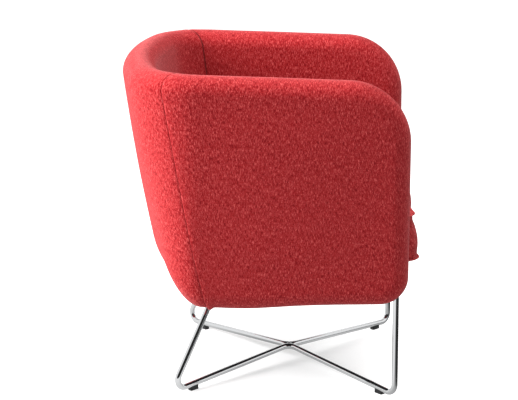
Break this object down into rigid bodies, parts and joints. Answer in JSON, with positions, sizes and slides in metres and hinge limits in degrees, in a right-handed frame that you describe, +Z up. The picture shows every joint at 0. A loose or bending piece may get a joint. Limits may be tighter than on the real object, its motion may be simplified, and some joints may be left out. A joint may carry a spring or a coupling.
{
  "type": "upholstered tub armchair",
  "caption": "Low tub armchair with a wraparound padded shell, a loose boxed seat cushion with sewn edges, and a crossed bent-rod base on floor glides.",
  "frame": {"origin": "centre of the overall box, on the floor plane under the glides", "axes": "+Z up, -Y towards the front of the seat, +X towards the sitter's left"},
  "size_m": [0.666, 0.696, 0.766],
  "materials": {
    "upholstery": "woven wool, matte",
    "rod": "polished",
    "glide": "matte",
    "plate": "satin",
    "fastener": "zinc plated",
    "plywood": "raw",
    "timber": "raw",
    "webbing": "elastic webbing",
    "foam": "upholstery foam",
    "deck_cloth": "plain lining cloth",
    "zip_tape": "woven tape",
    "zip_metal": "satin"
  },
  "bodies": {
    "chair": {"rod_right": "rod", "rod_left": "rod", "rod_weld": "rod", "glide_front_right": "glide", "glide_front_left": "glide", "glide_rear_right": "glide", "glide_rear_left": "glide", "leg_plate_front_right": "plate", "leg_plate_front_left": "plate", "leg_plate_rear_right": "plate", "leg_plate_rear_left": "plate", "base_bolts": "fastener", "tee_nuts": "fastener", "side_board_right": "plywood", "side_board_left": "plywood", "back_board": "plywood", "front_rail": "timber", "rear_rail": "timber", "side_rail_right": "timber", "side_rail_left": "timber", "leg_cross_rail": "timber", "corner_blocks": "timber", "frame_screws": "fastener", "straps_lengthwise": "webbing", "straps_crosswise": "webbing", "deck_pad": "foam", "deck_cloth": "deck_cloth", "front_rail_pad": "foam", "front_rail_cover": "upholstery", "dust_cloth": "deck_cloth", "foam_arm_right": "foam", "foam_arm_left": "foam", "foam_back": "foam", "cover_arm_right": "upholstery", "cover_arm_left": "upholstery", "cover_back": "upholstery"},
    "cushion": {"cushion_core": "foam", "cushion_top": "upholstery", "cushion_boxing": "upholstery", "cushion_bottom": "upholstery", "cushion_edge_top": "upholstery", "cushion_edge_bottom": "upholstery", "zip_tape": "zip_tape"},
    "zip_slider": {"zip_slider": "zip_metal"}
  },
  "joints": [
    {"name": "cushion_lift", "type": "slide", "parent": "chair", "child": "cushion", "axis": [0, 0, 1], "range_m": [0, 0.46]},
    {"name": "zip_slide", "type": "hinge", "parent": "cushion", "child": "zip_slider", "pos_m": [0, -0.4212, 0.369], "axis": [0, 0, 1], "range_deg": [0, 24]}
  ]
}
